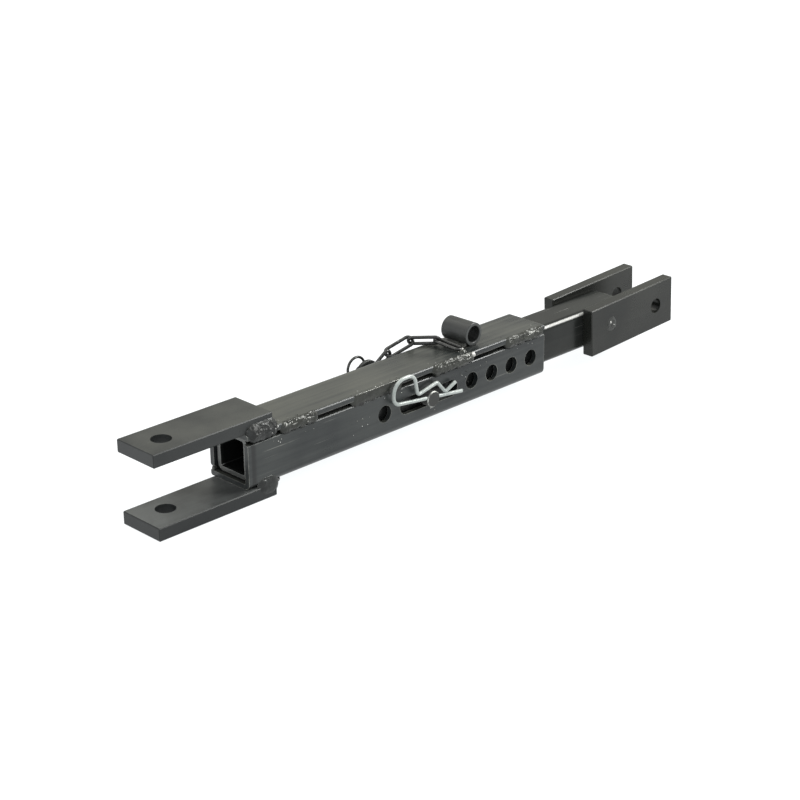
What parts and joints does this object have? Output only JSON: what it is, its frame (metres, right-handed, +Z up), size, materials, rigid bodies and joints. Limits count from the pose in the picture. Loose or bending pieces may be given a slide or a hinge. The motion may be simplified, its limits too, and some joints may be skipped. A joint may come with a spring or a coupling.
{
  "type": "telescopic check bar",
  "caption": "Square sleeve with two lugs and a sliding square tube that ends in a clevis, set by a chained cross pin through a slot and kept by a wire clip.",
  "frame": {"origin": "centre of the left clevis: on its vertical bore's axis, halfway between the two lugs' inner faces", "axes": "+X along the bar towards the tube's clevis, +Z up along the left bore, +Y towards the cross pin's collar"},
  "size_m": [0.6815, 0.1029, 0.0878],
  "materials": {
    "black_steel": "dark satin hot-rolled steel with light scratches",
    "weld": "lumpy satin weld metal",
    "bush_steel": "satin turned steel",
    "pin_steel": "satin zinc-plated steel",
    "zinc_wire": "dull zinc-plated wire",
    "chain_steel": "dark satin drawn wire"
  },
  "bodies": {
    "sleeve": {"sleeve_angle_top_rear": "black_steel", "sleeve_angle_front_bottom": "black_steel", "seam_welds_front": "weld", "seam_welds_rear": "weld", "upper_lug": "black_steel", "lower_lug": "black_steel", "upper_lug_welds": "weld", "lower_lug_welds": "weld", "parking_bush": "bush_steel", "bush_welds": "weld", "chain_anchor_weld": "weld", "chain_link_1": "chain_steel"},
    "inner_bar": {"inner_tube": "black_steel", "clevis_plate_front": "black_steel", "clevis_plate_rear": "black_steel", "clevis_plug_welds": "weld", "clevis_end_welds": "weld"},
    "adjusting_pin": {"adjusting_pin": "pin_steel", "pin_collar": "pin_steel", "pin_ring": "chain_steel"},
    "r_clip": {"r_clip": "zinc_wire"},
    "chain_link_2": {"chain_link_2": "chain_steel"},
    "chain_link_3": {"chain_link_3": "chain_steel"},
    "chain_link_4": {"chain_link_4": "chain_steel"},
    "chain_link_5": {"chain_link_5": "chain_steel"},
    "chain_link_6": {"chain_link_6": "chain_steel"}
  },
  "joints": [
    {"name": "bar_slide", "type": "slide", "parent": "sleeve", "child": "inner_bar", "axis": [1, 0, 0], "range_m": [-0.0286, 0.031], "deforming": ["chain_link_2", "chain_link_3", "chain_link_4", "chain_link_5", "chain_link_6"]},
    {"name": "pin_float", "type": "slide", "parent": "inner_bar", "child": "adjusting_pin", "axis": [0, 1, 0], "range_m": [-0.0024, 0.0024], "deforming": ["chain_link_5", "chain_link_6"]},
    {"name": "clip_withdraw", "type": "slide", "parent": "adjusting_pin", "child": "r_clip", "axis": [-0.9921, 0, 0.1253], "range_m": [0, 0.055], "deforming": ["r_clip"]},
    {"name": "chain_swing_2", "type": "hinge", "parent": "sleeve", "child": "chain_link_2", "pos_m": [0.3353, 0.0054, 0.039], "axis": [0.117, -0.122, -0.9856], "range_deg": [-13.8, 14.8], "deforming": ["chain_link_2", "chain_link_3", "chain_link_4", "chain_link_5", "chain_link_6"]},
    {"name": "chain_swing_3", "type": "hinge", "parent": "sleeve", "child": "chain_link_3", "pos_m": [0.3165, 0.0355, 0.0482], "axis": [0.361, -0.882, 0.303], "range_deg": [-20.4, 22], "deforming": ["chain_link_2", "chain_link_3", "chain_link_4", "chain_link_5", "chain_link_6"]},
    {"name": "chain_swing_4", "type": "hinge", "parent": "sleeve", "child": "chain_link_4", "pos_m": [0.3004, 0.0611, 0.0295], "axis": [0.349, -0.828, 0.439], "range_deg": [-31.2, 33.7], "deforming": ["chain_link_2", "chain_link_3", "chain_link_4", "chain_link_5", "chain_link_6"]},
    {"name": "chain_swing_5", "type": "hinge", "parent": "inner_bar", "child": "chain_link_5", "pos_m": [0.28, 0.0678, 0.0016], "axis": [0.8009, -0.237, -0.5499], "range_deg": [-32.6, 35.2], "deforming": ["chain_link_2", "chain_link_3", "chain_link_4", "chain_link_5", "chain_link_6"]},
    {"name": "chain_swing_6", "type": "hinge", "parent": "adjusting_pin", "child": "chain_link_6", "pos_m": [0.2794, 0.0633, -0.0041], "axis": [0.8611, -0.194, -0.47], "range_deg": [-40.8, 44.1], "deforming": ["chain_link_2", "chain_link_3", "chain_link_4", "chain_link_5", "chain_link_6"]}
  ],
  "couplings": [
    {"joint": "chain_swing_2", "follows": "bar_slide", "rad_per_m": 7.51},
    {"joint": "chain_swing_3", "follows": "bar_slide", "rad_per_m": 11.52},
    {"joint": "chain_swing_4", "follows": "bar_slide", "rad_per_m": 18.14},
    {"joint": "chain_swing_5", "follows": "bar_slide", "rad_per_m": 18.99},
    {"joint": "chain_swing_6", "follows": "bar_slide", "rad_per_m": 24}
  ]
}
